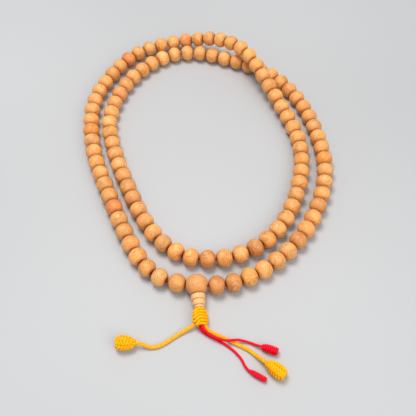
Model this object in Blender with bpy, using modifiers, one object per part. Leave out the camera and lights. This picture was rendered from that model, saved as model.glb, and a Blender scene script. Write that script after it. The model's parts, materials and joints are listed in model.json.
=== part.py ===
"""Mala prayer beads: 108 barrel beads and a three-hole guru bead on one red cord, laid down in two turns.

Both ends of the cord leave the guru bead through its third hole, run down through a ringed stupa bead
and a wound yellow knot, and end as two red tails. The cord that the knot is wound from ends as two
yellow tails. Each tail ends in a wound stopper knot.

Metres, +Z up. The beads lie on Z = 0, and the origin is under the middle of the beads, stupa bead and
wound knot together. +Y points away from the tassel.

The beads nearest the guru bead are one object each. The stretch between them is joined into runs,
whose beads are as long and as far apart as the single ones.
"""

import math

import bmesh
import bpy
import numpy as np
from mathutils import Matrix, Vector

MM = 0.001
GAP = 0.3 * MM  # left between pieces that touch on the real object

BEAD_COUNT = 108
BEAD_D = 8.0 * MM
BEAD_LENGTH = 6.7 * MM
BEAD_BORE_D = 2.0 * MM
BEAD_BAND = 2.0 * MM  # straight band round the middle
BEAD_SHOULDER = (2.7 * MM, 2.6 * MM)  # radius and distance from the middle, where the end begins
JOINED_NECK_D = 3.4 * MM  # thickness between the beads of a joined run
JOINED_END = (1.3 * MM, 3.2 * MM)  # radius and distance from the bead's middle, of a run's end rings
BEAD_SIDES = 12
BEAD_SLACK = 0.8 * MM  # free cord between the first two beads
SINGLE_BEADS_EACH_SIDE = 20  # beads on each side of the guru bead that are objects of their own
JOINED_RUNS = 6  # joined runs that hold the other beads

GURU_D = 9.0 * MM
GURU_LENGTH = 8.5 * MM  # along the cord that carries the beads
GURU_END_R = 1.45 * MM
GURU_BULGE = (62, 40, 15, -15, -40, -62)  # degrees up and down the side; the middle two are at full width
GURU_SIDES = 12

# Down the tassel, in millimetres from the guru bead's centre. The knot's side is radius and distance.
STUPA_SEAT_R = 5.1  # of the hollow that the guru bead sits in
STUPA_RINGS = ((4.4, 6.6, 3.0), (6.7, 8.9, 2.6), (9.0, 10.1, 2.05))  # start, end and radius
STUPA_RING_EDGE = 0.3  # how far each ring is rounded off
MAIN_KNOT_SIDE = ((1.9, 16.8), (2.5, 16.1), (3.0, 14.6), (2.95, 12.4), (2.3, 11.0), (1.8, 10.4))

RED_CORD_D = 1.1 * MM
YELLOW_CORD_D = 1.5 * MM
CORD_BEVEL = 2  # bevel_resolution of a cord, which gives eight sides
CORD_STEP = 2.5  # diameters from one point of a tail to the next
STRING_STOPS_SHORT = 1.55 * MM  # of the guru bead's side, on the loop's two ends inside it
STRING_END_APART = 0.7 * MM  # of each of the cord's two ends from the tassel's axis
STRING_END_TURN = ((2.35, 0), (1.3, 0), (0.1, 0.45), (0, 1.5))  # across and down from the guru's centre
STRING_END_DOWN = (9, 16.5)  # the straight part of each end, in millimetres from the guru's centre
TAIL_END_LEAN = 0.1 * MM  # more room at a stopper knot, because a tail comes to it at a slant

TASSEL_YAW = math.radians(7)  # the tassel leans this far from -Y towards +X
TASSEL_DROP = math.radians(5.8)  # and this far down from level
TASSEL_BORE_D = 3.0 * MM  # takes both ends of the red cord
TASSEL_SIDES = 12

# Each stopper knot: diameter and length in millimetres, and heading in degrees from +X.
YELLOW_LEFT_KNOT = (6.0, 8.0, 177)
YELLOW_RIGHT_KNOT = (5.4, 8.8, -40)
RED_UPPER_KNOT = (3.6, 6.6, -20)
RED_LOWER_KNOT = (2.5, 7.2, -31)
# A stopper knot's side, as shares of its radius and length.
STOPPER_SIDE = ((0.5, 0), (0.86, 0.12), (1, 0.3), (1, 0.75), (0.8, 0.93), (0.4, 1))

# The cord's route through the beads, from the guru bead round the outer turn, over the inner turn at the
# far right, round the inner turn, and back to the guru bead under the crossing: X, Y and height in mm.
BEAD_ROUTE = [
    (-3, -70.5, 4.5), (-11.5, -69.7, 4.2), (-18.5, -67, 4), (-24.2, -62.2, 4), (-28.5, -56, 4),
    (-35.5, -42.5, 4), (-43.5, -23.5, 4), (-51.5, -3.5, 4), (-56, 16.5, 4), (-56.5, 36.5, 4),
    (-49.5, 56, 4), (-37, 73.5, 4), (-24.5, 80.5, 4), (-10.5, 83, 5), (2.5, 80, 9), (14, 72.5, 12),
    (19, 67.5, 12.7), (24, 61, 12.3), (30, 49.5, 9), (36, 37, 6.5), (41.5, 24, 4.5),
    (45.5, 10.5, 4), (46, -3.5, 4), (43.5, -17.5, 4), (39, -31, 4), (32.5, -42.5, 4),
    (22.5, -52, 4), (9, -57.5, 4), (-5, -57.5, 4), (-17, -51, 4), (-26.5, -38, 4),
    (-35.5, -18.5, 4), (-43, 1.5, 4), (-47.5, 21.5, 4), (-44.5, 40.5, 4), (-34.5, 59, 4),
    (-18.5, 72, 4), (-4.5, 74, 4), (8.5, 70, 4), (21.5, 64.5, 4), (34, 57, 4), (43, 46, 4),
    (49.5, 33.5, 4), (55, 12.5, 4), (56.5, -9, 4), (51, -30, 4), (40.5, -48.5, 4), (25, -63, 4),
    (13, -69, 4), (5.5, -70.7, 4.2),
]  # fmt: skip

# The tails' routes, from the wound knot to each stopper knot, in the same units.
YELLOW_LEFT_ROUTE = [
    (-3.8, -86.9, 2.4), (-5.3, -87.9, 1.9), (-8, -89.3, 1.1), (-11.7, -91.7, 0.76),
    (-15.1, -94.1, 0.76), (-17.8, -95.5, 0.76), (-20, -95.9, 0.9), (-22.2, -95.7, 1.6),
    (-24, -95.2, 2.7), (-25.7, -95, 3),
]  # fmt: skip
YELLOW_RIGHT_ROUTE = [
    (0.6, -87.5, 2.25), (1.3, -88.6, 1.6), (2.8, -89.6, 1), (4.9, -90.6, 0.78), (7.9, -91.9, 0.76),
    (11.8, -94.1, 0.76), (14.7, -95.5, 0.76), (18, -97.5, 0.8), (20.3, -99.6, 1.4),
    (21.8, -101.2, 2.3), (23.2, -102.4, 2.7),
]  # fmt: skip
RED_UPPER_ROUTE = [
    (-0.8, -87.45, 3.35), (-0.4, -88.8, 3.1), (1.1, -90.3, 2.8), (3.1, -91.7, 2.6),
    (5.6, -92.9, 2.5), (8.3, -93.7, 2.5), (11.2, -93.6, 2.45), (13, -93.3, 2), (15.5, -93.4, 1.2),
    (18, -94, 0.8), (20.2, -95.1, 1.3), (21.9, -95.8, 1.8),
]  # fmt: skip
RED_LOWER_ROUTE = [
    (-1.7, -87.5, 2.25), (-1.3, -88.75, 1.7), (0.1, -89.85, 1.15), (2.2, -91.2, 0.75),
    (4.75, -92.5, 0.6), (7.4, -94.05, 0.6), (9.9, -95.8, 0.6), (12.4, -98.1, 0.6),
    (14.5, -100.8, 0.6), (15.7, -103.4, 0.75), (16.9, -105.2, 1.25),
]  # fmt: skip

WOOD = (0.75, 0.42, 0.18)
GURU_WOOD = (0.72, 0.38, 0.16)
PALE_WOOD = (0.85, 0.58, 0.36)
RED = (0.75, 0.0, 0.03)
YELLOW = (1.0, 0.52, 0.0)


def clear_scene():
    for obj in list(bpy.data.objects):
        bpy.data.objects.remove(obj, do_unlink=True)


def new_collection(name):
    collection = bpy.data.collections.new(name)
    bpy.context.scene.collection.children.link(collection)
    return collection


def new_material(name, colour, roughness):
    material = bpy.data.materials.new(name)
    material.use_nodes = True
    shader = material.node_tree.nodes["Principled BSDF"]
    shader.inputs["Base Color"].default_value = (*colour, 1)
    shader.inputs["Roughness"].default_value = roughness
    shader.inputs["Metallic"].default_value = 0
    material.diffuse_color = (*colour, 1)
    return material


def place(obj, collection, material):
    collection.objects.link(obj)
    obj.data.materials.clear()
    obj.data.materials.append(material)
    return obj


def frame_along(axis, sides, position=(0, 0, 0)):
    """A matrix whose local Z runs along axis, and that gives a turned shape of so many sides a facet down."""
    along = Vector(axis).normalized()
    down = Vector((0, 0, -1))
    down = (down - along * down.dot(along)).normalized()
    half = math.pi / sides
    across = down * math.cos(half) - along.cross(down) * math.sin(half)
    rows = Matrix((across, along.cross(across), along)).transposed()
    return Matrix.Translation(position) @ rows.to_4x4()


def to_facets(radius, sides):
    """The corner radius that puts the middle of each facet at this radius."""
    return radius / math.cos(math.pi / sides)


def outline(name, profile, sides):
    """A closed ring of (radius, height) points as a mesh to turn about local Z, outer side downwards."""
    mesh = bpy.data.meshes.new(name)
    shape = bmesh.new()
    ring = [shape.verts.new((to_facets(radius, sides), 0, height)) for radius, height in profile]
    for here, there in zip(ring, ring[1:] + ring[:1]):
        if here.co.x or there.co.x:
            shape.edges.new((here, there))
    shape.to_mesh(mesh)
    shape.free()
    return mesh


def turned(name, ring, sides, collection, material):
    """A solid of revolution about local Z."""
    obj = place(bpy.data.objects.new(name, ring), collection, material)
    screw = obj.modifiers.new("turn", "SCREW")
    screw.axis = "Z"
    screw.steps = screw.render_steps = sides
    screw.use_merge_vertices = True
    screw.merge_threshold = 0.00001
    screw.use_smooth_shade = True
    return obj


def smooth_curve(points, closed=False, step=0.1 * MM):
    """Points about a step apart on a smooth curve through the given ones."""
    route = np.array(points, float)
    if closed:
        route = np.vstack([route[-1:], route, route[:2]])
    spans = np.linalg.norm(np.diff(route, axis=0), axis=1)
    slopes = np.diff(route, axis=0) / spans[:, None]
    share = (spans[:-1] / (spans[:-1] + spans[1:]))[:, None]
    tangents = np.empty_like(route)
    tangents[1:-1] = slopes[:-1] * (1 - share) + slopes[1:] * share
    tangents[0] = 2 * slopes[0] - tangents[1]
    tangents[-1] = 2 * slopes[-1] - tangents[-2]
    first, last = (1, len(route) - 2) if closed else (0, len(route) - 1)
    pieces = []
    for i in range(first, last):
        t = np.arange(0, 1, step / spans[i])[:, None]
        pieces.append(
            (2 * t**3 - 3 * t**2 + 1) * route[i]
            + (t**3 - 2 * t**2 + t) * tangents[i] * spans[i]
            + (3 * t**2 - 2 * t**3) * route[i + 1]
            + (t**3 - t**2) * tangents[i + 1] * spans[i]
        )
    return np.vstack([*pieces, route[last : last + 1]])


def spaced(curve, distance):
    """Points evenly spread along a dense curve, about this distance apart."""
    travel = np.append(0, np.cumsum(np.linalg.norm(np.diff(curve, axis=0), axis=1)))
    count = max(2, round(travel[-1] / distance))
    stations = np.linspace(0, travel[-1], count + 1)
    return np.stack([np.interp(stations, travel, curve[:, k]) for k in range(3)], axis=1)


def cord_curve(name, points, radius, bevel, collection, material, radii=None, tilt=0):
    """A round cord through the points, as a curve object with filled caps."""
    data = bpy.data.curves.new(name, "CURVE")
    data.dimensions = "3D"
    data.twist_mode = "Z_UP"
    data.bevel_depth = radius
    data.bevel_resolution = bevel
    data.use_fill_caps = True
    spline = data.splines.new("POLY")
    spline.points.add(len(points) - 1)
    for i, point in enumerate(points):
        spline.points[i].co = (*point, 1)
        spline.points[i].radius = 1 if radii is None else radii[i] / radius
        spline.points[i].tilt = tilt
    spline.use_smooth = True
    return place(bpy.data.objects.new(name, data), collection, material)


def as_mesh(curve_object, collection, material):
    """The curve's surface as a closed mesh object, in place of the curve."""
    bpy.context.view_layer.update()
    graph = bpy.context.evaluated_depsgraph_get()
    mesh = bpy.data.meshes.new_from_object(curve_object.evaluated_get(graph))
    shape = bmesh.new()
    shape.from_mesh(mesh)
    bmesh.ops.remove_doubles(shape, verts=shape.verts, dist=0.00001)
    bmesh.ops.recalc_face_normals(shape, faces=shape.faces)
    shape.to_mesh(mesh)
    shape.free()
    name, matrix = curve_object.name, curve_object.matrix_world.copy()
    bpy.data.objects.remove(curve_object, do_unlink=True)
    obj = place(bpy.data.objects.new(name, mesh), collection, material)
    obj.matrix_world = matrix
    return obj


def as_cutter(obj):
    obj.hide_render = True
    obj.display_type = "WIRE"
    return obj


def cut(obj, cutter):
    boolean = obj.modifiers.new("cut", "BOOLEAN")
    boolean.operation = "DIFFERENCE"
    boolean.object = cutter


def next_joint(curve, start, index, distance):
    """The place on the curve, from this index on, that is this far from start, and the index after it."""
    while index < len(curve) - 1 and np.linalg.norm(curve[index] - start) < distance:
        index += 1
    near, far = (np.linalg.norm(curve[i] - start) for i in (index - 1, index))
    share = (distance - near) / (far - near)
    return curve[index - 1] * (1 - share) + curve[index] * share, index


def bead_joints(curve, guru_centre, along_cord):
    """The places between beads: the ends of BEAD_COUNT equal chords from one side of the guru bead to
    the other, and the chords' length."""
    reach = GURU_LENGTH / 2 + GAP
    first, last = guru_centre + along_cord * reach, guru_centre - along_cord * reach

    def walk(pitch):
        joints, index = [first], 0
        for k in range(BEAD_COUNT - 1):
            point, index = next_joint(curve, joints[-1], index, pitch + (BEAD_SLACK if k == 0 else 0))
            joints.append(point)
        return joints

    low, high = BEAD_LENGTH, 1.2 * BEAD_LENGTH
    for _ in range(30):
        pitch = (low + high) / 2
        joints = walk(pitch)
        short = np.dot(last - joints[-1], along_cord) > pitch
        low, high = (pitch, high) if short else (low, pitch)
    return np.array([*joints, last]), pitch


def bead_profile():
    """Outer side from the top end to the bottom end, then the bore."""
    upper = [(BEAD_BORE_D / 2, BEAD_LENGTH / 2), BEAD_SHOULDER, (BEAD_D / 2, BEAD_BAND / 2)]
    return upper + [(radius, -height) for radius, height in reversed(upper)]


def bead_places(joints, pitch):
    """The centre and direction of each bead. The slack lies on the far side of the first bead."""
    places = []
    for here, there in zip(joints[:-1], joints[1:]):
        direction = (there - here) / np.linalg.norm(there - here)
        places.append((here + direction * pitch / 2, direction))
    return places


def single_beads(places, numbers, parts, wood):
    ring = outline("bead", bead_profile(), BEAD_SIDES)
    for number in numbers:
        centre, direction = places[number - 1]
        bead = turned(f"bead_{number:03d}", ring, BEAD_SIDES, parts, wood)
        bead.matrix_world = frame_along(direction, BEAD_SIDES, centre)


def joined_run(numbers, places, joints, bore, parts, wood):
    """Neighbouring beads as one solid: a round bar along the cord that swells at each bead, with a bore."""
    corner, neck = to_facets(BEAD_D / 2, BEAD_SIDES), JOINED_NECK_D / 2
    turn, shoulder = BEAD_SHOULDER
    end_radius, end = JOINED_END
    first, last = places[numbers[0] - 1], places[numbers[-1] - 1]
    points, radii = [first[0] - first[1] * end], [end_radius]
    for number in numbers:
        centre, direction = places[number - 1]
        points += [centre + direction * at for at in (-shoulder, -BEAD_BAND / 2, BEAD_BAND / 2, shoulder)]
        points.append(joints[number])
        radii += [turn, corner, corner, turn, neck]
    points[-1], radii[-1] = last[0] + last[1] * end, end_radius
    name = f"beads_{numbers[0]:03d}_{numbers[-1]:03d}"
    facet_down = math.pi / BEAD_SIDES
    bar = cord_curve(name, points, corner, BEAD_SIDES // 2 - 2, parts, wood, radii, facet_down)
    run = as_mesh(bar, parts, wood)
    cut(run, bore)
    return run


def guru_bead(centre, along_cord, tassel_axis, parts, cutters, wood):
    radius, end, bore = GURU_D / 2, GURU_LENGTH / 2, BEAD_BORE_D / 2
    bulge = [(math.cos(math.radians(a)), math.sin(math.radians(a))) for a in GURU_BULGE]
    widest = max(bulge)[0]
    side = [(radius * (1 if out == widest else out), end * up) for out, up in bulge]
    profile = [(GURU_END_R, end), *side, (GURU_END_R, -end), (bore, -end), (bore, end)]
    guru = turned("guru_bead", outline("guru_bead", profile, GURU_SIDES), GURU_SIDES, parts, wood)
    guru.matrix_world = frame_along(along_cord, GURU_SIDES, centre)
    hole, through = TASSEL_BORE_D / 2, 2 * radius
    ring = outline("guru_third_hole", [(0, through), (hole, through), (hole, 0), (0, 0)], TASSEL_SIDES)
    cutter = turned("guru_third_hole", ring, TASSEL_SIDES, cutters, wood)
    cutter.matrix_world = frame_along(tassel_axis, TASSEL_SIDES, centre)
    cut(guru, as_cutter(cutter))


def stupa_bead(centre, tassel_axis, parts, wood):
    """Three stacked rings, each narrower than the last, under a cupped seat for the guru bead."""
    bore = TASSEL_BORE_D / 2
    profile = [(bore, math.sqrt((STUPA_SEAT_R * MM) ** 2 - bore**2))]
    for start, end, radius in STUPA_RINGS:
        edge = radius - STUPA_RING_EDGE
        profile += [(edge * MM, start * MM), (radius * MM, (start + 0.4) * MM),
                    (radius * MM, (end - 0.5) * MM), (edge * MM, end * MM)]  # fmt: skip
    profile.append((bore, STUPA_RINGS[-1][1] * MM))
    ring = outline("stupa_bead", profile[::-1], TASSEL_SIDES)
    stupa = turned("stupa_bead", ring, TASSEL_SIDES, parts, wood)
    stupa.matrix_world = frame_along(tassel_axis, TASSEL_SIDES, centre)


def main_knot(centre, tassel_axis, parts, yellow):
    """The wound knot below the stupa bead."""
    bore = TASSEL_BORE_D / 2
    profile = [(radius * MM, height * MM) for radius, height in MAIN_KNOT_SIDE]
    profile += [(bore, profile[-1][1]), (bore, profile[0][1])]
    knot = turned("main_knot", outline("main_knot", profile, TASSEL_SIDES), TASSEL_SIDES, parts, yellow)
    knot.matrix_world = frame_along(tassel_axis, TASSEL_SIDES, centre)


def string_ends(centre, along_cord, tassel_axis, parts, red):
    """The cord's two ends: in through the guru bead's side holes, then side by side down the tassel."""
    across = np.cross(tassel_axis, (0, 0, 1))
    across /= np.linalg.norm(across)
    for name, side in (("string_end_left", 1), ("string_end_right", -1)):
        inward = along_cord * side
        beside = across * math.copysign(STRING_END_APART, np.dot(across, inward))
        turn = [
            centre + inward * aside * MM + (beside + tassel_axis * down * MM if down else 0)
            for aside, down in STRING_END_TURN
        ]
        straight = [centre + beside + tassel_axis * down * MM for down in STRING_END_DOWN]
        bend = spaced(smooth_curve(turn), RED_CORD_D / 2)
        cord_curve(name, [*bend, *straight], RED_CORD_D / 2, CORD_BEVEL, parts, red)


def tail(name, route, diameter, parts, material):
    points = spaced(smooth_curve(np.array(route) * MM), CORD_STEP * diameter)
    return cord_curve(name, points, diameter / 2, CORD_BEVEL, parts, material)


def stopper_knot(name, route, knot, parts, material):
    """A wound knot on the end of a tail: a barrel with rounded ends, lying down, near the tail's end."""
    diameter, length, heading = knot[0] * MM, knot[1] * MM, math.radians(knot[2])
    direction = np.array((math.cos(heading), math.sin(heading), 0))
    tail_end = np.array(route[-1]) * MM
    near = np.array((*tail_end[:2], diameter / 2)) + direction * (GAP + TAIL_END_LEAN)
    side = [(diameter / 2 * r, length * h) for r, h in reversed(STOPPER_SIDE)]
    ring = outline(name, [(0, length), *side, (0, 0)], TASSEL_SIDES)
    barrel = turned(name, ring, TASSEL_SIDES, parts, material)
    barrel.matrix_world = frame_along(direction, TASSEL_SIDES, near)


def build():
    clear_scene()
    parts, cutters = new_collection("mala_prayer_beads"), new_collection("cutters")
    wood = new_material("bead_wood", WOOD, 0.4)
    guru_wood = new_material("guru_wood", GURU_WOOD, 0.35)
    pale_wood = new_material("stupa_wood", PALE_WOOD, 0.45)
    red = new_material("red_cord", RED, 0.5)
    yellow = new_material("yellow_cord", YELLOW, 0.5)

    route = np.array(BEAD_ROUTE) * MM
    curve = smooth_curve(route, closed=True)
    curve[:, 2] = np.maximum(curve[:, 2], BEAD_D / 2)
    guru_centre = route[0]
    along_cord = curve[1] - curve[-2]
    along_cord[2] = 0
    along_cord /= np.linalg.norm(along_cord)
    level = math.cos(TASSEL_DROP)
    yaw_x, yaw_y = math.sin(TASSEL_YAW), -math.cos(TASSEL_YAW)
    tassel_axis = np.array((yaw_x * level, yaw_y * level, -math.sin(TASSEL_DROP)))

    joints, pitch = bead_joints(curve, guru_centre, along_cord)
    places = bead_places(joints, pitch)
    inside_guru = GURU_LENGTH / 2 - STRING_STOPS_SHORT
    string = [guru_centre + along_cord * inside_guru, *joints, guru_centre - along_cord * inside_guru]
    cord_curve("string_loop", string, RED_CORD_D / 2, CORD_BEVEL, parts, red)
    bore = cord_curve("string_bore", string, BEAD_BORE_D / 2, CORD_BEVEL, cutters, red)
    bore = as_cutter(as_mesh(bore, cutters, red))

    numbers = list(range(1, BEAD_COUNT + 1))
    middle = numbers[SINGLE_BEADS_EACH_SIDE:-SINGLE_BEADS_EACH_SIDE]
    single_beads(places, [n for n in numbers if n not in middle], parts, wood)
    for run in np.array_split(middle, JOINED_RUNS):
        joined_run([int(n) for n in run], places, joints, bore, parts, wood)

    guru_bead(guru_centre, along_cord, tassel_axis, parts, cutters, guru_wood)
    stupa_bead(guru_centre, tassel_axis, parts, pale_wood)
    main_knot(guru_centre, tassel_axis, parts, yellow)
    string_ends(guru_centre, along_cord, tassel_axis, parts, red)

    for side, route, knot, diameter, cord in (
        ("yellow_{}_left", YELLOW_LEFT_ROUTE, YELLOW_LEFT_KNOT, YELLOW_CORD_D, yellow),
        ("yellow_{}_right", YELLOW_RIGHT_ROUTE, YELLOW_RIGHT_KNOT, YELLOW_CORD_D, yellow),
        ("red_{}_upper", RED_UPPER_ROUTE, RED_UPPER_KNOT, RED_CORD_D, red),
        ("red_{}_lower", RED_LOWER_ROUTE, RED_LOWER_KNOT, RED_CORD_D, red),
    ):
        tail(side.format("tail"), route, diameter, parts, cord)
        stopper_knot(side.format("knot"), route, knot, parts, cord)
    return places, joints, pitch, guru_centre, along_cord, tassel_axis


build()
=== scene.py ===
"""Looks for the mala prayer beads.

Turned wooden beads, a larger guru bead, a ringed stupa bead, and braided yellow and red cord.
"""

import json
import math

import bmesh
import bpy
import numpy as np
from mathutils import Matrix, Vector

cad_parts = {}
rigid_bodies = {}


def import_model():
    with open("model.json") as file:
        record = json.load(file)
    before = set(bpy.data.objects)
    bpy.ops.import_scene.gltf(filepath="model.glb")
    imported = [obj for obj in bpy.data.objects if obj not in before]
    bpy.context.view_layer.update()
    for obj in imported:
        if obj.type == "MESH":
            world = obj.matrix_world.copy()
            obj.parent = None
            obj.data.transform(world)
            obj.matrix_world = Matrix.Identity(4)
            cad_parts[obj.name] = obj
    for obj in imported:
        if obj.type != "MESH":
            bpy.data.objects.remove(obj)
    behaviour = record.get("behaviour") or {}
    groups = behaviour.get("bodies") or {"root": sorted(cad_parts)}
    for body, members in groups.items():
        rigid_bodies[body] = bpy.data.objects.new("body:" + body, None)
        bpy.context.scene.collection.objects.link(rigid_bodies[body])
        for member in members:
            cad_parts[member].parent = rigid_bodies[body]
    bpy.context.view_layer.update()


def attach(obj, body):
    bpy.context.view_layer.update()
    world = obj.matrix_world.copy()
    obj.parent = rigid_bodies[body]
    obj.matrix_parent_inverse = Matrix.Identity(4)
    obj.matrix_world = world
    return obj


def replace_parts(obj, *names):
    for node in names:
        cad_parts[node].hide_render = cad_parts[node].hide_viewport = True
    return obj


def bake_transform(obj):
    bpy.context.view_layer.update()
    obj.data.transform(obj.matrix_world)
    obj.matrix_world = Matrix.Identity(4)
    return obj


for startup in list(bpy.data.objects):
    bpy.data.objects.remove(startup, do_unlink=True)
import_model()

MM = 0.001

# Sizes that the CAD model has too.
GAP = 0.3 * MM  # between the guru bead and the beads beside it
BEAD_COUNT = 108
BEAD_D = 8.0 * MM
BEAD_LENGTH = 6.7 * MM
BEAD_BORE_D = 2.0 * MM
BEAD_SLACK = 0.8 * MM  # spare room on the cord beside the first bead
SINGLE_BEADS_EACH_SIDE = 20
JOINED_RUNS = 6
GURU_D = 9.0 * MM
GURU_LENGTH = 8.5 * MM
RED_CORD_D = 1.1 * MM
YELLOW_CORD_D = 1.5 * MM
STRING_STOPS_SHORT = 1.55 * MM  # of the guru bead's side, on the loop's two ends inside it
STRING_END_APART = 0.7 * MM  # of each of the string's two ends from the tassel's axis
# The curved and the straight part of each end, across and down from the guru bead's centre, in mm.
STRING_END_TURN = ((2.35, 0), (1.3, 0), (0.1, 0.45), (0, 1.5))
STRING_END_DOWN = (9, 16.5)
TASSEL_YAW = math.radians(7)
TASSEL_DROP = math.radians(5.8)
TASSEL_BORE_D = 3.0 * MM

# The shape of the wooden beads.
OVAL = 1.1  # length of a bead's oval side before its ends are cut flat, as a share of the bead's
LIP = 0.12 * MM  # how far the end is rounded over into the bore
BEAD_STEPS, GURU_STEPS, STUPA_STEPS, HOLE_STEPS = 40, 64, 48, 32  # round each turned shape
BEAD_ROWS, GURU_ROWS, RING_ROWS = 15, 21, 11  # along each oval side, and round each ring's edge
BEAD_CLEARANCE = 0.02 * MM  # between a bead's end and the middle of the joint to its neighbour
MOST_LONGER = 0.4 * MM  # than the CAD model's bead
FIRST_BEAD_LONGER = 0.15 * MM  # at each end, because of the spare room beside it
GURU_LONGER = 0.1 * MM  # at each end
STUPA_SEAT = ((2.35, 4.55), (1.9, 4.72))  # radius and height of the hollow under the guru bead, in mm
STUPA_SEAT_BOTTOM = 4.85 * MM
STUPA_END = 10.1 * MM
STUPA_RINGS = ((9.0, 10.1, 2.05), (6.7, 8.9, 2.6), (4.4, 6.6, 3.0))  # start, end and radius, in mm
STUPA_EDGE = 0.42  # how far each ring's edges are rounded in, in mm

# Braided cord.
BRAID_STRANDS = 6
BRAID_PITCH = 1.5  # in diameters of the cord
TAIL_WEAVE, KNOT_WEAVE = 0.06, 0.08  # how far the braid lifts the surface, as a share of its radius
TAIL_SIDES, STRING_SIDES, KNOT_SIDES, CORE_SIDES = 20, 12, 12, 24
TAIL_STEP, STRING_STEP = 0.12 * MM, 0.3 * MM  # between rows of points along each cord
TAIL_PAST_ROUTE = 0.5 * MM  # from a route's end to where its stopper knot's length is counted from
TAIL_IN_KNOT = (0.15, 0.85)  # shares of the stopper knot's length at its tail's last two points
KNOT_PAST_ROUTE = 0.4 * MM  # from a route's end to the near end of its stopper knot

# Wound knots, in diameters of their cord where nothing else is said.
CORE_INSET = 0.75  # of the core, from the knot's side
WINDING_INSET = 0.52  # of the winding's middle line
WINDING_STEPS = 40  # points in a turn
LEVEL_TURNS = 0.8  # turns at each end of the winding that don't climb
STITCH_INSET = 0.3
STITCH_RADIUS = 0.46
STITCH_SPACING = 0.98
STITCH_RISE = 1.15  # from the ends of a stitch's arms to its point
STITCH_POINTS = 13

# Camera and light, in metres and watts.
CAMERA_LENS_MM, CAMERA_SENSOR_MM = 51.92, 36
CAMERA_PLACE = (0.0016, -0.1888, 0.2206)
CAMERA_FROM_STRAIGHT_DOWN = math.radians(36)
LIGHTS = (
    # name, place, diameter, power
    ("key", (-0.12, 0.10, 0.64), 0.34, 3.4),
    ("fill", (0.4, -0.45, 0.6), 0.7, 3.0),
)
WORLD_COLOUR, WORLD_STRENGTH = (0.95, 0.97, 1.0, 1), 0.58
FLOOR_REACH = 3.0
FLOOR_GREYS = ((0.35, 0.42), (0.65, 0.46))  # where on the noise, and how pale

# X, Y and height in millimetres, as in the CAD model.
BEAD_ROUTE = [
    (-3, -70.5, 4.5), (-11.5, -69.7, 4.2), (-18.5, -67, 4), (-24.2, -62.2, 4), (-28.5, -56, 4),
    (-35.5, -42.5, 4), (-43.5, -23.5, 4), (-51.5, -3.5, 4), (-56, 16.5, 4), (-56.5, 36.5, 4),
    (-49.5, 56, 4), (-37, 73.5, 4), (-24.5, 80.5, 4), (-10.5, 83, 5), (2.5, 80, 9), (14, 72.5, 12),
    (19, 67.5, 12.7), (24, 61, 12.3), (30, 49.5, 9), (36, 37, 6.5), (41.5, 24, 4.5), (45.5, 10.5, 4),
    (46, -3.5, 4), (43.5, -17.5, 4), (39, -31, 4), (32.5, -42.5, 4), (22.5, -52, 4), (9, -57.5, 4),
    (-5, -57.5, 4), (-17, -51, 4), (-26.5, -38, 4), (-35.5, -18.5, 4), (-43, 1.5, 4), (-47.5, 21.5, 4),
    (-44.5, 40.5, 4), (-34.5, 59, 4), (-18.5, 72, 4), (-4.5, 74, 4), (8.5, 70, 4), (21.5, 64.5, 4),
    (34, 57, 4), (43, 46, 4), (49.5, 33.5, 4), (55, 12.5, 4), (56.5, -9, 4), (51, -30, 4),
    (40.5, -48.5, 4), (25, -63, 4), (13, -69, 4), (5.5, -70.7, 4.2),
]  # fmt: skip
YELLOW_LEFT_ROUTE = [
    (-3.8, -86.9, 2.4), (-5.3, -87.9, 1.9), (-8, -89.3, 1.1), (-11.7, -91.7, 0.76), (-15.1, -94.1, 0.76),
    (-17.8, -95.5, 0.76), (-20, -95.9, 0.9), (-22.2, -95.7, 1.6), (-24, -95.2, 2.7), (-25.7, -95, 3),
]  # fmt: skip
YELLOW_RIGHT_ROUTE = [
    (0.6, -87.5, 2.25), (1.3, -88.6, 1.6), (2.8, -89.6, 1), (4.9, -90.6, 0.78), (7.9, -91.9, 0.76),
    (11.8, -94.1, 0.76), (14.7, -95.5, 0.76), (18, -97.5, 0.8), (20.3, -99.6, 1.4), (21.8, -101.2, 2.3),
    (23.2, -102.4, 2.7),
]  # fmt: skip
RED_UPPER_ROUTE = [
    (-0.8, -87.45, 3.35), (-0.4, -88.8, 3.1), (1.1, -90.3, 2.8), (3.1, -91.7, 2.6), (5.6, -92.9, 2.5),
    (8.3, -93.7, 2.5), (11.2, -93.6, 2.45), (13, -93.3, 2), (15.5, -93.4, 1.2), (18, -94, 0.8),
    (20.2, -95.1, 1.3), (21.9, -95.8, 1.8),
]  # fmt: skip
RED_LOWER_ROUTE = [
    (-1.7, -87.5, 2.25), (-1.3, -88.75, 1.7), (0.1, -89.85, 1.15), (2.2, -91.2, 0.75), (4.75, -92.5, 0.6),
    (7.4, -94.05, 0.6), (9.9, -95.8, 0.6), (12.4, -98.1, 0.6), (14.5, -100.8, 0.6), (15.7, -103.4, 0.75),
    (16.9, -105.2, 1.25),
]  # fmt: skip
# Each stopper knot: diameter and length in millimetres, and heading in degrees from +X.
YELLOW_LEFT_KNOT = (6.0, 8.0, 177)
YELLOW_RIGHT_KNOT = (5.4, 8.8, -40)
RED_UPPER_KNOT = (3.6, 6.6, -20)
RED_LOWER_KNOT = (2.5, 7.2, -31)

# Radius and height of a knot's side, as shares of its own.
EGG = [
    (0.36, 0.02), (0.58, 0.11), (0.80, 0.27), (0.95, 0.47),
    (1.0, 0.66), (0.95, 0.83), (0.76, 0.94), (0.5, 0.99),
]  # fmt: skip
BARREL = [(0.5, 0.02), (0.8, 0.12), (0.97, 0.35), (1.0, 0.65), (0.97, 0.86), (0.85, 0.95), (0.6, 0.99)]

# Radius and distance from the guru bead's centre of the main knot's side, in millimetres.
MAIN_KNOT_SIDE = (
    (2.0, 10.15), (2.4, 10.9), (2.8, 12.4), (2.9, 14.6), (2.6, 16.1), (2.2, 16.9), (1.6, 17.25),
)  # fmt: skip
MAIN_KNOT_CORD = 1.12 * MM
MAIN_KNOT_TURNS = 6.7
MAIN_KNOT_SLANT = -0.4 * MM
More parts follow.
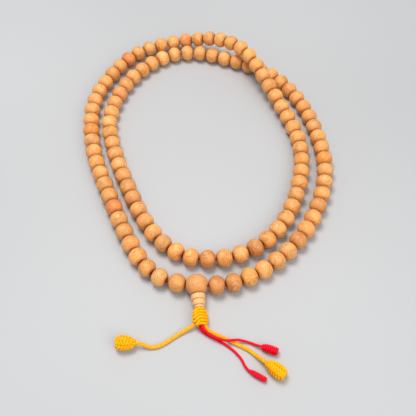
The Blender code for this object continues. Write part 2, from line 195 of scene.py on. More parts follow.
# Each column of chain stitches: its angle round the knot, half its width as an angle, and its lift.
MAIN_KNOT_COLUMNS = [(math.radians(52), 0.58, 0.85 * MM), (math.radians(-125), 0.5, 0.2 * MM)]
STOPPERS = (
    # name, route, knot, shape, cord, turns, columns, colour, body, slot
    ("cord_yellow_knot_left", YELLOW_LEFT_ROUTE, YELLOW_LEFT_KNOT, EGG, 1.05 * MM, 8,
     [(-0.3, 0.5, 0.32 * MM), (-1.4, 0.45, 0.2 * MM), (2.4, 0.5, 0)],
     "yellow", "yellow_left", "yellow_cord"),
    ("cord_yellow_knot_right", YELLOW_RIGHT_ROUTE, YELLOW_RIGHT_KNOT, EGG, 1.0 * MM, 9,
     [(0.3, 0.55, 0.32 * MM), (-0.95, 0.5, 0.2 * MM), (-2.9, 0.5, 0)],
     "yellow", "yellow_right", "yellow_cord"),
    ("cord_red_knot_upper", RED_UPPER_ROUTE, RED_UPPER_KNOT, BARREL, 0.8 * MM, 8.5,
     [(0.2, 0.6, 0.18 * MM), (-2.8, 0.55, 0)], "red", "red_upper", "red_cord"),
    ("cord_red_knot_lower", RED_LOWER_ROUTE, RED_LOWER_KNOT, BARREL, 0.72 * MM, 10,
     [(0.35, 0.65, 0.12 * MM)], "red", "red_lower", "red_cord"),
)  # fmt: skip
TAILS = (
    # name, route, knot, diameter, colour, bodies, how far it starts inside the main knot in mm, slot
    ("cord_yellow_tail_left", YELLOW_LEFT_ROUTE, YELLOW_LEFT_KNOT, YELLOW_CORD_D, "yellow",
     ("guru", "yellow_left"), 0.6, "yellow_cord"),
    ("cord_yellow_tail_right", YELLOW_RIGHT_ROUTE, YELLOW_RIGHT_KNOT, YELLOW_CORD_D, "yellow",
     ("guru", "yellow_right"), 0.9, "yellow_cord"),
    ("cord_red_tail_upper", RED_UPPER_ROUTE, RED_UPPER_KNOT, RED_CORD_D, "red",
     ("yellow_right", "red_upper"), 0.22, "red_cord"),
    ("cord_red_tail_lower", RED_LOWER_ROUTE, RED_LOWER_KNOT, RED_CORD_D, "red",
     ("yellow_right", "red_lower"), 0.22, "red_cord"),
)  # fmt: skip

# Patterns, in repeats per millimetre. The wood's grain runs along Z.
WOOD_FIBRES, WOOD_PORES = (5.5, 5.5, 0.7), (2.6, 2.6, 0.9)
WOOD_CLOUDS, PORE_PATCHES = 0.28, 0.9
BRAID_PATCHES, BRAID_FIBRES = 0.9, 9.0
# How much each pattern counts in the wood's tone and in how dark a point of the braid is painted; the
# groove's share is painted shade between strands.
RINGS_SHARE, FIBRES_SHARE, CLOUDS_SHARE = 0.16, 0.85, 0.45
PATCHES_DEPTH, GROOVE_SHADE, FIBRES_DEPTH = 0.3, 0.65, 0.25
BUMP_HEIGHT = 0.03 * MM

# Colours, in linear RGB.
WOODS = {
    # light, middle and dark wood, ring spacing in mm, how dark the pores are, roughness
    "bead": ((0.92, 0.475, 0.15), (0.84, 0.385, 0.108), (0.40, 0.13, 0.025), 0.75, 0.95, 0.41),
    "guru": ((0.86, 0.43, 0.145), (0.77, 0.34, 0.105), (0.40, 0.14, 0.03), 0.9, 0.7, 0.40),
    "stupa": ((0.93, 0.59, 0.28), (0.85, 0.49, 0.205), (0.52, 0.24, 0.075), 0.9, 0.4, 0.44),
}
BRAIDS = {
    # on top of the strands, painted shade between them, and the sheen
    "yellow": ((1.0, 0.54, 0.0), (0.95, 0.22, 0.0), (1.0, 0.7, 0.1)),
    "red": ((0.95, 0.0, 0.022), (0.52, 0.0, 0.014), (1.0, 0.1, 0.15)),
    # The string is the red cord painted darker: painted shade for the crevices between beads where it runs.
    "string": ((0.50, 0.0, 0.010), (0.15, 0.0, 0.004), (1.0, 0.1, 0.15)),
}
# Painted shade where each bead meets its neighbours: how much red, green and blue a bead loses towards its
# holes, and from which share of its half length on.
END_SHADE = np.array((0.34, 0.46, 0.54))
END_SHADE_FROM = 0.74
NO_TINT = (1, 1, 1)
# Beads whose wood stands out, as multipliers for the wood's colour. The others differ at random.
TINTS = {
    **dict.fromkeys((52, 55, 62, 99, 102, 107, 108), (0.86, 0.80, 0.78)),
    **dict.fromkeys((1, 3, 60, 88), (0.95, 0.93, 0.88)),
    **dict.fromkeys((8, 23), (0.97, 0.72, 0.62)),
    **dict.fromkeys((15, 95), (1.03, 0.86, 0.55)),
    **dict.fromkeys((28, 72), (1.02, 0.88, 0.92)),
    **dict.fromkeys((68, 106), (1.04, 1.06, 0.90)),
}


# ---- Routes

def smooth_curve(points, closed=False, step=0.1 * MM):
    """Points about a step apart on a smooth curve through the given ones."""
    route = np.array(points, float)
    if closed:
        route = np.vstack([route[-1:], route, route[:2]])
    spans = np.linalg.norm(np.diff(route, axis=0), axis=1)
    slopes = np.diff(route, axis=0) / spans[:, None]
    share = (spans[:-1] / (spans[:-1] + spans[1:]))[:, None]
    tangents = np.empty_like(route)
    tangents[1:-1] = slopes[:-1] * (1 - share) + slopes[1:] * share
    tangents[0] = 2 * slopes[0] - tangents[1]
    tangents[-1] = 2 * slopes[-1] - tangents[-2]
    first, last = (1, len(route) - 2) if closed else (0, len(route) - 1)
    pieces = []
    for i in range(first, last):
        t = np.arange(0, 1, step / spans[i])[:, None]
        pieces.append(
            (2 * t**3 - 3 * t**2 + 1) * route[i]
            + (t**3 - 2 * t**2 + t) * tangents[i] * spans[i]
            + (3 * t**2 - 2 * t**3) * route[i + 1]
            + (t**3 - t**2) * tangents[i + 1] * spans[i]
        )
    return np.vstack([*pieces, route[last : last + 1]])


def spaced(curve, distance):
    """Points evenly spread along a dense curve, about this distance apart."""
    travel = np.append(0, np.cumsum(np.linalg.norm(np.diff(curve, axis=0), axis=1)))
    count = max(2, round(travel[-1] / distance))
    stations = np.linspace(0, travel[-1], count + 1)
    return np.stack([np.interp(stations, travel, curve[:, k]) for k in range(3)], axis=1)


def next_joint(curve, start, index, distance):
    """The first place on the curve that is this far from start, looking from index on, and its index."""
    while index < len(curve) - 1 and np.linalg.norm(curve[index] - start) < distance:
        index += 1
    near, far = (np.linalg.norm(curve[i] - start) for i in (index - 1, index))
    share = (distance - near) / (far - near)
    return curve[index - 1] * (1 - share) + curve[index] * share, index


def bead_joints(curve, guru_centre, along_cord):
    """The places between beads: the ends of equal chords from one side of the guru bead to the other."""
    reach = GURU_LENGTH / 2 + GAP
    first, last = guru_centre + along_cord * reach, guru_centre - along_cord * reach

    def walk(pitch):
        joints, index = [first], 0
        for k in range(BEAD_COUNT - 1):
            point, index = next_joint(curve, joints[-1], index, pitch + (BEAD_SLACK if k == 0 else 0))
            joints.append(point)
        return joints

    low, high = BEAD_LENGTH, 1.2 * BEAD_LENGTH
    for _ in range(30):  # halving the range of pitches each time
        pitch = (low + high) / 2
        joints = walk(pitch)
        short = np.dot(last - joints[-1], along_cord) > pitch
        low, high = (pitch, high) if short else (low, pitch)
    return np.array([*joints, last]), pitch


def lay_out():
    """Each bead's centre and direction, the joints between beads, and the guru bead's centre and two axes."""
    route = np.array(BEAD_ROUTE) * MM
    curve = smooth_curve(route, closed=True)
    curve[:, 2] = np.maximum(curve[:, 2], BEAD_D / 2)
    along_cord = (curve[1] - curve[-2]) * (1, 1, 0)
    along_cord /= np.linalg.norm(along_cord)
    level = math.cos(TASSEL_DROP)
    tassel = np.array((math.sin(TASSEL_YAW) * level, -math.cos(TASSEL_YAW) * level, -math.sin(TASSEL_DROP)))
    joints, pitch = bead_joints(curve, route[0], along_cord)
    places = []
    for here, there in zip(joints[:-1], joints[1:]):
        direction = (there - here) / np.linalg.norm(there - here)
        places.append((here + direction * pitch / 2, direction))
    return places, joints, route[0], along_cord, tassel


# ---- Materials

def new_material(name):
    material = bpy.data.materials.new(name)
    material.use_nodes = True
    nodes, links = material.node_tree.nodes, material.node_tree.links
    return material, nodes, links, nodes["Principled BSDF"]


def attribute(nodes, name, output):
    node = nodes.new("ShaderNodeAttribute")
    node.attribute_name = name
    return node.outputs[output]


def scaled(nodes, links, vector, scale):
    node = nodes.new("ShaderNodeVectorMath")
    node.operation = "MULTIPLY"
    links.new(vector, node.inputs[0])
    node.inputs[1].default_value = scale
    return node.outputs[0]


def noise(nodes, links, vector, scale, detail=2.0, roughness=0.5):
    node = nodes.new("ShaderNodeTexNoise")
    node.inputs["Scale"].default_value = scale
    node.inputs["Detail"].default_value = detail
    node.inputs["Roughness"].default_value = roughness
    links.new(vector, node.inputs["Vector"])
    return node.outputs["Fac"]


def ramp(nodes, links, value, *stops):
    node = nodes.new("ShaderNodeValToRGB")
    links.new(value, node.inputs["Fac"])
    while len(node.color_ramp.elements) < len(stops):
        node.color_ramp.elements.new(0.5)
    for element, (at, colour) in zip(node.color_ramp.elements, stops):
        element.position = at
        element.color = (*colour, 1) if hasattr(colour, "__len__") else (colour, colour, colour, 1)
    return node.outputs["Color"]


def mixed(nodes, links, kind, factor, a, b):
    node = nodes.new("ShaderNodeMix")
    node.data_type = "RGBA"
    node.blend_type = kind
    for socket, value in ((node.inputs[0], factor), (node.inputs[6], a), (node.inputs[7], b)):
        if isinstance(value, bpy.types.NodeSocket):
            links.new(value, socket)
        else:
            socket.default_value = (*value, 1) if hasattr(value, "__len__") else value
    return node.outputs[2]


def maths(nodes, links, operation, *values):
    node = nodes.new("ShaderNodeMath")
    node.operation = operation
    for socket, value in zip(node.inputs, values):
        if isinstance(value, bpy.types.NodeSocket):
            links.new(value, socket)
        else:
            socket.default_value = value
    return node.outputs[0]


def wood(name, light, middle, dark, ring_spacing, pores, roughness):
    """Satin turned wood: growth rings, fibres along the grain, soft clouds and short dark pores.

    The "wood" attribute holds each point's place in its block, in millimetres, with the grain along Z, and
    the "tint" attribute the block's own colour, with painted shade towards a bead's holes.
    """
    material, nodes, links, shader = new_material(name)
    place = attribute(nodes, "wood", "Vector")
    rings = nodes.new("ShaderNodeTexWave")
    rings.wave_type, rings.rings_direction, rings.wave_profile = "RINGS", "Z", "SAW"
    rings.inputs["Scale"].default_value = math.pi / 10 / ring_spacing
    rings.inputs["Distortion"].default_value = 1.6
    rings.inputs["Detail"].default_value = 2.0
    rings.inputs["Detail Scale"].default_value = 0.35
    links.new(place, rings.inputs["Vector"])
    fibre = noise(nodes, links, scaled(nodes, links, place, WOOD_FIBRES), 1.0, 3.0, 0.6)
    cloud = noise(nodes, links, place, WOOD_CLOUDS, 2.0)
    tone = maths(nodes, links, "MULTIPLY", cloud, CLOUDS_SHARE)
    tone = maths(nodes, links, "MULTIPLY_ADD", fibre, FIBRES_SHARE, tone)
    tone = maths(nodes, links, "MULTIPLY_ADD", rings.outputs["Fac"], RINGS_SHARE, tone)
    colour = ramp(nodes, links, tone, (0.45, light), (0.66, middle), (0.95, dark))
    flecks = nodes.new("ShaderNodeTexVoronoi")
    flecks.inputs["Scale"].default_value = 1.0
    links.new(scaled(nodes, links, place, WOOD_PORES), flecks.inputs["Vector"])
    pore = ramp(nodes, links, flecks.outputs["Distance"], (0.14, 0), (0.32, 1))
    kept = ramp(nodes, links, noise(nodes, links, place, PORE_PATCHES, 1.0), (0.40, 0), (0.55, 1))
    pore = mixed(nodes, links, "MIX", kept, (1, 1, 1), pore)
    pore_colour = mixed(nodes, links, "MIX", pore, dark, (1, 1, 1))
    colour = mixed(nodes, links, "MULTIPLY", pores, colour, pore_colour)
    # The tint multiplies in each bead's own tone and the painted shade towards its holes.
    colour = mixed(nodes, links, "MULTIPLY", 1.0, colour, attribute(nodes, "tint", "Color"))
    links.new(colour, shader.inputs["Base Color"])
    rough = ramp(nodes, links, fibre, (0.3, roughness), (0.7, roughness + 0.14))
    links.new(rough, shader.inputs["Roughness"])
    bump = nodes.new("ShaderNodeBump")
    bump.inputs["Strength"].default_value = 0.35
    bump.inputs["Distance"].default_value = BUMP_HEIGHT
    height = maths(nodes, links, "MULTIPLY_ADD", fibre, 0.6, maths(nodes, links, "MULTIPLY", pore, 0.5))
    links.new(height, bump.inputs["Height"])
    links.new(bump.outputs["Normal"], shader.inputs["Normal"])
    shader.inputs["Specular IOR Level"].default_value = 0.5
    return material


def braid(name, light, deep, sheen):
    """Satin braided cord, with painted shade between its strands.

    The "groove" attribute is 1 between strands and 0 on top of them, and "place" is where each point lies
    at rest, in millimetres.
    """
    material, nodes, links, shader = new_material(name)
    place = attribute(nodes, "place", "Vector")
    patch = noise(nodes, links, place, BRAID_PATCHES, 2.0)
    fibre = noise(nodes, links, place, BRAID_FIBRES, 3.0, 0.65)
    # Painted shade between the strands, plus random patches and fibres of the cord's own tone.
    depth = maths(nodes, links, "MULTIPLY", attribute(nodes, "groove", "Fac"), GROOVE_SHADE)
    depth = maths(nodes, links, "MULTIPLY_ADD", patch, PATCHES_DEPTH, depth)
    depth = maths(nodes, links, "MULTIPLY_ADD", fibre, FIBRES_DEPTH, depth)
    colour = ramp(nodes, links, depth, (0.45, light), (0.95, deep))
    links.new(colour, shader.inputs["Base Color"])
    links.new(ramp(nodes, links, fibre, (0.3, 0.44), (0.7, 0.6)), shader.inputs["Roughness"])
    bump = nodes.new("ShaderNodeBump")
    bump.inputs["Strength"].default_value = 0.3
    bump.inputs["Distance"].default_value = BUMP_HEIGHT
    links.new(fibre, bump.inputs["Height"])
    links.new(bump.outputs["Normal"], shader.inputs["Normal"])
    shader.inputs["Sheen Weight"].default_value = 0.05
    shader.inputs["Sheen Roughness"].default_value = 0.4
    shader.inputs["Sheen Tint"].default_value = (*sheen, 1)
    shader.inputs["Specular IOR Level"].default_value = 0.15
    shader.inputs["Subsurface Weight"].default_value = 0.3
    shader.inputs["Subsurface Radius"].default_value = light
    shader.inputs["Subsurface Scale"].default_value = 0.5 * MM
    return material


# ---- Meshes

def ring_faces(rows, sides, closed):
    """Quads between neighbouring rows of points, and from the last row to the first if closed."""
    i = np.arange(rows if closed else rows - 1)[:, None]
    j = np.arange(sides)[None, :]
    a, b = i * sides, (i + 1) % rows * sides
    quads = np.stack([a + j, a + (j + 1) % sides, b + (j + 1) % sides, b + j], axis=-1)
    return [tuple(q) for q in quads.reshape(-1, 4).tolist()]


def lathe(profile, sides):
    """A closed ring of (radius, height) points turned about Z: its points and faces."""
    angles = np.arange(sides) * 2 * math.pi / sides
    profile = np.array(profile)
    points = np.stack([
        profile[:, :1] * np.cos(angles),
        profile[:, :1] * np.sin(angles),
        np.broadcast_to(profile[:, 1:], (len(profile), sides)),
    ], axis=-1)  # fmt: skip
    return points.reshape(-1, 3), ring_faces(len(profile), sides, True)


def tube(line, radius, sides, weave, pitch, up=(0, 0, 1)):
    """A braided cord along the line: points, faces and how deep in a groove of its braid each point is.

    The braid lifts the surface by a share, weave, of the radius, and repeats once in a pitch.
    """
    line = np.array(line)
    radius = np.broadcast_to(np.array(radius, float), len(line))
    tangents = np.gradient(line, axis=0)
    tangents /= np.linalg.norm(tangents, axis=1)[:, None]
    across = np.cross(tangents[0], up)
    travel = np.append(0, np.cumsum(np.linalg.norm(np.diff(line, axis=0), axis=1)))
    angles = np.arange(sides) * 2 * math.pi / sides
    rows, grooves = [], []
    for point, tangent, r, s in zip(line, tangents, radius, travel):
        across = across - tangent * (across @ tangent)
        across /= np.linalg.norm(across)
        other = np.cross(tangent, across)
        turn = BRAID_STRANDS * angles / 2
        along = math.pi * s / pitch
        height = np.abs(np.sin(along + turn) * np.sin(along - turn))
        out = r * (1 - weave + weave * height)
        rows.append(
            point + out[:, None] * (np.cos(angles)[:, None] * across + np.sin(angles)[:, None] * other)
        )
        grooves.append(1 - height)
    count = len(line)
    faces = ring_faces(count, sides, False)
    faces += [tuple(range(sides)), tuple(range((count - 1) * sides, count * sides))]
    return np.vstack(rows), faces, np.concatenate(grooves)


def make(name, material, points, faces, **values):
    """A smooth mesh object with its normals outwards and a value for each point."""
    mesh = bpy.data.meshes.new(name)
    mesh.from_pydata(np.array(points).tolist(), [], faces)
    shape = bmesh.new()
    shape.from_mesh(mesh)
    bmesh.ops.recalc_face_normals(shape, faces=shape.faces)
    shape.to_mesh(mesh)
    shape.free()
    for key, value in values.items():
        value = np.array(value, np.float32)
        kind, field = ("FLOAT", "value") if value.ndim == 1 else ("FLOAT_VECTOR", "vector")
        if value.ndim > 1 and value.shape[1] == 4:
            kind, field = "FLOAT_COLOR", "color"
        mesh.attributes.new(key, kind, "POINT").data.foreach_set(field, value.ravel())
    mesh.shade_smooth()
    mesh.materials.append(material)
    obj = bpy.data.objects.new(name, mesh)
    bpy.context.scene.collection.objects.link(obj)
    return obj


def joined(parts):
    """Several (points, faces, groove) as one."""
    points, faces, grooves, start = [], [], [], 0
    for part_points, part_faces, part_grooves in parts:
        points.append(part_points)
        faces += [tuple(i + start for i in face) for face in part_faces]
        grooves.append(part_grooves)
        start += len(part_points)
    return np.vstack(points), faces, np.concatenate(grooves)


def frame_along(axis, position):
    """Local Z along axis, local X as near as it can be to straight up."""
    along = Vector(axis).normalized()
    up = Vector((0, 0, 1))
    side = up - along * along.dot(up)
    side.normalize()
    rows = Matrix((side, along.cross(side), along)).transposed()
    return Matrix.Translation(position) @ rows.to_4x4()


def moved(points, matrix):
    matrix = np.array(matrix)
    return np.array(points) @ matrix[:3, :3].T + matrix[:3, 3]


# ---- Beads

def bead_profile(radius, half, bore, rows):
    """Oval side from end to end, cut off flat and rounded over into the bore, as a closed ring."""
    reach = math.asin(1 / OVAL)
    outer = [(radius * math.cos(a), half * OVAL * math.sin(a)) for a in np.linspace(reach, -reach, rows)]
    inner = [
        (bore + 2 * LIP, -half), (bore + 0.4 * LIP, -half + 0.4 * LIP), (bore, -half + 2 * LIP),
        (bore, 0),
        (bore, half - 2 * LIP), (bore + 0.4 * LIP, half - 0.4 * LIP), (bore + 2 * LIP, half),
    ]  # fmt: skip
    return outer + inner


def grain(points, random, about=None, off=None):
    """Each point's place in a block of wood, in millimetres, with the pith some way off.

    The grain runs about the given direction and the given distance off, or at random.
    """
    turn = Matrix.Rotation(random.uniform(0, 2 * math.pi), 3, "Z")
    if about is None:
        about = Vector(random.normal(size=3))
    turn = turn @ Vector(about).rotation_difference(Vector((0, 0, 1))).to_matrix()
    off = random.uniform(4, 14) if off is None else off
    pith = (off, random.uniform(-3, 3), random.uniform(-40, 40))
    return (np.array(points) / MM) @ np.array(turn).T + pith


def tinted(count, tint):
    """The same tint for each of the points, with an alpha of 1."""
    return np.tile((*tint, 1.0), (count, 1))


def tinted_bead(points, half, tint):
    """The tint of each point, with painted shade towards the holes, where the bead meets its neighbours."""
    share = np.abs(np.array(points)[:, 2]) / half
    # Painted shade, darkest at the holes where neighbouring beads meet.
    end_shade = np.clip((share - END_SHADE_FROM) / (1 - END_SHADE_FROM), 0, 1) ** 1.3
    colours = tinted(len(points), tint)
    colours[:, :3] *= 1 - end_shade[:, None] * END_SHADE
    return colours


def bead(number, centre, direction, half, material):
    """One bead of the strand, a little different from the others in size, tone and grain."""
    random = np.random.default_rng(number)
    radius = BEAD_D / 2 * random.uniform(0.965, 1.0)
    profile = bead_profile(radius, half * random.uniform(0.994, 1.0), BEAD_BORE_D / 2, BEAD_ROWS)
    points, faces = lathe(profile, BEAD_STEPS)
    tone = random.normal(1.02, 0.06)
    warm = random.normal(0.0, 0.03)
    tint = TINTS.get(number, (tone, tone * (1 - warm), tone * (1 - 3 * warm)))
    obj = make(f"wood_bead_{number:03d}", material, points, faces, wood=grain(points, random),
               tint=tinted_bead(points, half, tint))  # fmt: skip
    spin = Matrix.Rotation(random.uniform(0, 2 * math.pi), 4, "Z")
    obj.matrix_world = frame_along(direction, centre) @ spin
    return obj


def half_before(places, index):
    """Half the longest bead that clears its next neighbour, given how far the two lean together."""
    (here, along), (there, onward) = places[index], places[index + 1]
    lean = math.acos(min(1, float(along @ onward)))
    end_radius = BEAD_D / 2 * math.sqrt(1 - 1 / OVAL**2)
    between = min(float(np.linalg.norm(there - here)), BEAD_LENGTH + MOST_LONGER)
    return between / 2 - end_radius * math.tan(lean / 2) - BEAD_CLEARANCE


def all_beads(places, material):
    """Every bead of the strand, on its own body near the guru bead and on the strand's elsewhere."""
    numbers = list(range(1, BEAD_COUNT + 1))
    middle = numbers[SINGLE_BEADS_EACH_SIDE:-SINGLE_BEADS_EACH_SIDE]
    node_of = {n: (f"bead_{n:03d}", f"bead_{n:03d}") for n in numbers if n not in middle}
    for run in np.array_split(middle, JOINED_RUNS):
        node_of.update({int(n): (f"beads_{run[0]:03d}_{run[-1]:03d}", "strand") for n in run})
    joints = [half_before(places, index) for index in range(BEAD_COUNT - 1)]
    halves = [min(pair) for pair in zip([joints[0], *joints], [*joints, joints[-1]])]
    halves[0] += FIRST_BEAD_LONGER
    for number, ((centre, direction), half) in enumerate(zip(places, halves), 1):
        node, body = node_of[number]
        obj = bead(number, centre, direction, half, material)
        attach(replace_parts(obj, node), body)


def guru(centre, along_cord, tassel, material):
    """The large bead with a third hole, which is cut towards the tassel."""
    profile = bead_profile(GURU_D / 2, GURU_LENGTH / 2 + GURU_LONGER, BEAD_BORE_D / 2, GURU_ROWS)
    points, faces = lathe(profile, GURU_STEPS)
    obj = make("wood_guru_bead", material, points, faces)
    obj.matrix_world = frame_along(along_cord, centre)
    hole = TASSEL_BORE_D / 2
    angles = np.arange(HOLE_STEPS) * 2 * math.pi / HOLE_STEPS
    ends = [
        np.stack([hole * np.cos(angles), hole * np.sin(angles), np.full(HOLE_STEPS, height)], axis=1)
        for height in (0, GURU_D)
    ]
    faces = ring_faces(2, HOLE_STEPS, False)
    faces += [tuple(range(HOLE_STEPS)), tuple(range(HOLE_STEPS, 2 * HOLE_STEPS))]
    cutter = make("third_hole", material, np.vstack(ends), faces)
    cutter.matrix_world = frame_along(tassel, centre)
    boolean = obj.modifiers.new("third_hole", "BOOLEAN")
    boolean.object = cutter
    bpy.context.view_layer.update()
    mesh = bpy.data.meshes.new_from_object(obj.evaluated_get(bpy.context.evaluated_depsgraph_get()))
    obj.modifiers.clear()
    obj.data = mesh
    mesh.shade_smooth()
    mesh.set_sharp_from_angle(angle=math.radians(50))
    bpy.data.objects.remove(cutter)
    points = np.array([v.co for v in mesh.vertices])
    rings_face = obj.matrix_world.to_3x3().inverted() @ Vector((0.1, -0.55, 0.82))
    random = np.random.default_rng(7)
    values = (
        ("wood", "FLOAT_VECTOR", "vector", grain(points, random, rings_face, 1.5)),
        ("tint", "FLOAT_COLOR", "color", tinted(len(points), NO_TINT)),
    )
    for key, kind, field, value in values:
        mesh.attributes.new(key, kind, "POINT").data.foreach_set(field, value.astype(np.float32).ravel())
    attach(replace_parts(obj, "guru_bead"), "guru")


def stupa(centre, tassel, material):
    """Three stacked rings with rounded edges and fine grooves between them."""
    bore = TASSEL_BORE_D / 2
    profile = [(bore, STUPA_END)]
    for start, end, radius in STUPA_RINGS:
        middle, half = (start + end) / 2, (end - start) / 2
        for a in np.linspace(math.pi / 2, -math.pi / 2, RING_ROWS):
            out = radius - STUPA_EDGE * (1 - abs(math.cos(a)) ** 0.5)
            profile.append((out * MM, (middle + half * math.copysign(abs(math.sin(a)) ** 0.7, a)) * MM))
    profile += [(radius * MM, height * MM) for radius, height in STUPA_SEAT]
    profile += [(bore + 0.05 * MM, STUPA_SEAT_BOTTOM), (bore, STUPA_SEAT_BOTTOM + 0.1 * MM)]
    points, faces = lathe(profile, STUPA_STEPS)
    random = np.random.default_rng(3)
    obj = make("wood_stupa_bead", material, points, faces, wood=grain(points, random, Vector((1, 0, 0.3))),
               tint=tinted(len(points), NO_TINT))  # fmt: skip
    obj.matrix_world = frame_along(tassel, centre)
    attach(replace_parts(obj, "stupa_bead"), "stupa")


# ---- Cords and knots

def tail(name, route, knot, diameter, material, start_inside):
    """A tail from inside the wound knot to near the far end of its stopper knot."""
    line = np.array(route) * MM
    heading = math.radians(knot[2])
    direction = np.array((math.cos(heading), math.sin(heading), 0))
    first = line[0] - line[1]
    first = line[0] + first / np.linalg.norm(first) * start_inside * MM
    knot_length = knot[1] * MM
    last = [line[-1] + direction * (TAIL_PAST_ROUTE + knot_length * share) for share in TAIL_IN_KNOT]
    for point in last:
        point[2] = knot[0] / 2 * MM
    path = spaced(smooth_curve(np.vstack([first, line, *last])), TAIL_STEP)
    points, faces, groove = tube(path, diameter / 2, TAIL_SIDES, TAIL_WEAVE, BRAID_PITCH * diameter)
    obj = make(name, material, points, faces, groove=groove, place=points / MM)
    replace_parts(obj, name.replace("cord_", ""))
    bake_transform(obj)


def wound(matrix, side, cord, turns, columns, slant=0.0):
    """Cord wound round a core whose side is (radius, height) points, with columns of chain stitches up it.

    Each column is (angle, half width as an angle, lift). A slant tilts the turns in the middle. It returns
    points, faces and how deep in a groove each point is.
    """
    radii, heights = np.array(side).T
    low, high = heights[0], heights[-1]

    def at(height):
        return np.interp(height, heights, radii)

    core = [(max(r - CORE_INSET * cord, 0.3 * MM), h) for r, h in side]
    core = [*core, (0.2 * MM, high - 0.2 * MM), (0.2 * MM, low + 0.2 * MM)]
    points, faces = lathe(core, CORE_SIDES)
    # The core counts as wholly in a groove, so it takes the braid's painted shade colour.
    parts = [(points, faces, np.full(len(points), 1.0))]
    pitch = BRAID_PITCH * cord

    # The winding climbs evenly, but goes level for most of its first and last turns.
    t = np.linspace(0, 1, int(turns * WINDING_STEPS) + 1)
    climb = np.clip((t * turns - LEVEL_TURNS) / (turns - 2 * LEVEL_TURNS), 0, 1)
    height = low + cord * 0.35 + (high - low - cord * 0.7) * climb
    angle = 2 * math.pi * turns * t
    height = height + slant * np.sin(angle) * np.sin(math.pi * t)
    radius = at(height) - cord * WINDING_INSET
    line = np.stack([radius * np.cos(angle), radius * np.sin(angle), height], axis=1)
    tapered = np.clip(np.minimum(t, 1 - t) * turns * 6, 0.6, 1)
    parts.append(tube(line, cord / 2 * tapered, KNOT_SIDES, KNOT_WEAVE, pitch))

    # Each stitch is a V whose point is up, and the stitches in the middle stand out furthest.
    t = np.linspace(-1, 1, STITCH_POINTS)
    room = high - low - 0.6 * cord
    count = int(room / (STITCH_SPACING * cord))
    for angle, width, lift in columns:
        for k in range(count):
            base = low + 0.3 * cord + room * (k + 0.3) / count
            swell = 0.3 + 0.9 * math.sin(math.pi * (k + 0.5) / count)
            height = np.minimum(base + cord * STITCH_RISE * (1 - np.abs(t) ** 1.2), high - 0.3 * cord)
            around = angle + width * t * (1 if k % 2 else 0.94)
            out = at(height) - cord * STITCH_INSET + lift * swell * (1 - np.abs(t) ** 2.2)
            line = np.stack([out * np.cos(around), out * np.sin(around), height], axis=1)
            up = np.array((math.cos(angle), math.sin(angle), 0))
            parts.append(tube(line, cord * STITCH_RADIUS, KNOT_SIDES, KNOT_WEAVE, pitch, up))
    points, faces, grooves = joined(parts)
    return moved(points, matrix), faces, grooves


def main_knot(centre, tassel, material):
    side = [(r * MM, h * MM) for r, h in MAIN_KNOT_SIDE]
    points, faces, groove = wound(frame_along(tassel, centre), side, MAIN_KNOT_CORD, MAIN_KNOT_TURNS,
                                  MAIN_KNOT_COLUMNS, MAIN_KNOT_SLANT)  # fmt: skip
    obj = make("cord_main_knot", material, points, faces, groove=groove, place=points / MM)
    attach(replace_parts(obj, "main_knot"), "guru")


def stopper(name, route, knot, shape, cord, turns, columns, material, body):
    """A wound knot on the end of a tail, flattened where it lies on the table."""
    diameter, length, heading = knot[0] * MM, knot[1] * MM, math.radians(knot[2])
    direction = np.array((math.cos(heading), math.sin(heading), 0))
    near = np.array((route[-1][0] * MM, route[-1][1] * MM, diameter / 2)) + direction * KNOT_PAST_ROUTE
    side = [(diameter / 2 * r, length * h) for r, h in shape]
    points, faces, groove = wound(frame_along(direction, near), side, cord, turns, columns)
    points[:, 2] = np.maximum(points[:, 2], 0.02 * MM)
    obj = make(name, material, points, faces, groove=groove, place=points / MM)
    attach(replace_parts(obj, name.replace("cord_", "")), body)
    return obj


def string(name, points, material, body):
    """One stretch of the red cord that the beads are strung on."""
    path = spaced(smooth_curve(points, step=0.05 * MM), STRING_STEP)
    points, faces, groove = tube(path, RED_CORD_D / 2, STRING_SIDES, TAIL_WEAVE, BRAID_PITCH * RED_CORD_D)
    obj = make(name, material, points, faces, groove=groove, place=points / MM)
    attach(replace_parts(obj, name.replace("cord_", "")), body)


def string_loop(joints, guru_centre, along_cord, material):
    """Through every bead, and into the guru bead's side holes."""
    inside = GURU_LENGTH / 2 - STRING_STOPS_SHORT
    points = [guru_centre + along_cord * inside, *joints, guru_centre - along_cord * inside]
    string("cord_string_loop", points, material, "strand")


def string_ends(centre, along_cord, tassel, material):
    """In through the guru bead's side holes, then side by side down the tassel."""
    across = np.cross(tassel, (0, 0, 1))
    across /= np.linalg.norm(across)
    for name, side in (("cord_string_end_left", 1), ("cord_string_end_right", -1)):
        inward = along_cord * side
        beside = across * math.copysign(STRING_END_APART, np.dot(across, inward))
        turn = [
            centre + inward * aside * MM + (beside + tassel * down * MM if down else 0)
            for aside, down in STRING_END_TURN
        ]
        straight = [centre + beside + tassel * down * MM for down in STRING_END_DOWN]
        string(name, [*turn, *straight], material, "guru")


# ---- Camera, light and floor

def set_camera():
    data = bpy.data.cameras.new("camera")
    data.lens, data.sensor_width = CAMERA_LENS_MM, CAMERA_SENSOR_MM
    data.clip_start, data.clip_end = 0.01, 10
    camera = bpy.data.objects.new("camera", data)
    bpy.context.scene.collection.objects.link(camera)
    camera.location = CAMERA_PLACE
    camera.rotation_euler = (CAMERA_FROM_STRAIGHT_DOWN, 0, 0)
    bpy.context.scene.camera = camera


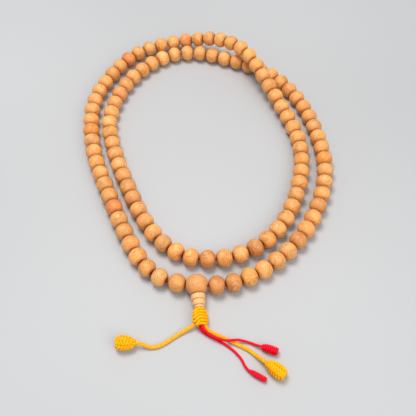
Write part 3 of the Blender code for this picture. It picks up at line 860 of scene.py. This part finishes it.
def area_light(name, place, size, power):
    """A round white light aimed at the origin."""
    data = bpy.data.lights.new(name, "AREA")
    data.shape, data.size, data.energy = "DISK", size, power
    light = bpy.data.objects.new(name, data)
    bpy.context.scene.collection.objects.link(light)
    light.location = place
    light.rotation_euler = (-Vector(place)).to_track_quat("-Z", "Y").to_euler()


def set_stage():
    """The lights, the surroundings and a plain pale floor."""
    scene = bpy.context.scene
    scene.view_settings.view_transform = "Standard"
    for light in LIGHTS:
        area_light(*light)
    world = bpy.data.worlds.new("studio")
    scene.world = world
    world.use_nodes = True
    world.node_tree.nodes["Background"].inputs["Color"].default_value = WORLD_COLOUR
    world.node_tree.nodes["Background"].inputs["Strength"].default_value = WORLD_STRENGTH
    material, nodes, links, shader = new_material("floor")
    place = nodes.new("ShaderNodeTexCoord").outputs["Object"]
    soft = noise(nodes, links, place, 4.0, 1.0)
    links.new(ramp(nodes, links, soft, *FLOOR_GREYS), shader.inputs["Base Color"])
    shader.inputs["Roughness"].default_value = 0.7
    mesh = bpy.data.meshes.new("floor")
    corners = [(x * FLOOR_REACH, y * FLOOR_REACH, 0) for x, y in ((-1, -1), (1, -1), (1, 1), (-1, 1))]
    mesh.from_pydata(corners, [], [(0, 1, 2, 3)])
    mesh.materials.append(material)
    floor = bpy.data.objects.new("floor", mesh)
    scene.collection.objects.link(floor)


def main():
    set_camera()
    places, joints, guru_centre, along_cord, tassel = lay_out()
    braids = {name: braid(f"{name}_cord_braid", *colours) for name, colours in BRAIDS.items()}
    for name, route, knot, shape, cord, turns, columns, colour, body, slot_name in STOPPERS:
        stopper(name, route, knot, shape, cord, turns, columns, braids[colour], body)
    for name, route, knot, diameter, colour, bodies, start_inside, slot_name in TAILS:
        tail(name, route, knot, diameter, braids[colour], start_inside)
    main_knot(guru_centre, tassel, braids["yellow"])
    # The string's material is the red cord painted darker, as painted shade.
    string_loop(joints, guru_centre, along_cord, braids["string"])
    string_ends(guru_centre, along_cord, tassel, braids["string"])

    woods = {name: wood(f"{name}_wood_grain", *values) for name, values in WOODS.items()}
    all_beads(places, woods["bead"])
    guru(guru_centre, along_cord, tassel, woods["guru"])
    stupa(guru_centre, tassel, woods["stupa"])
    set_stage()
    bpy.context.view_layer.update()


main()
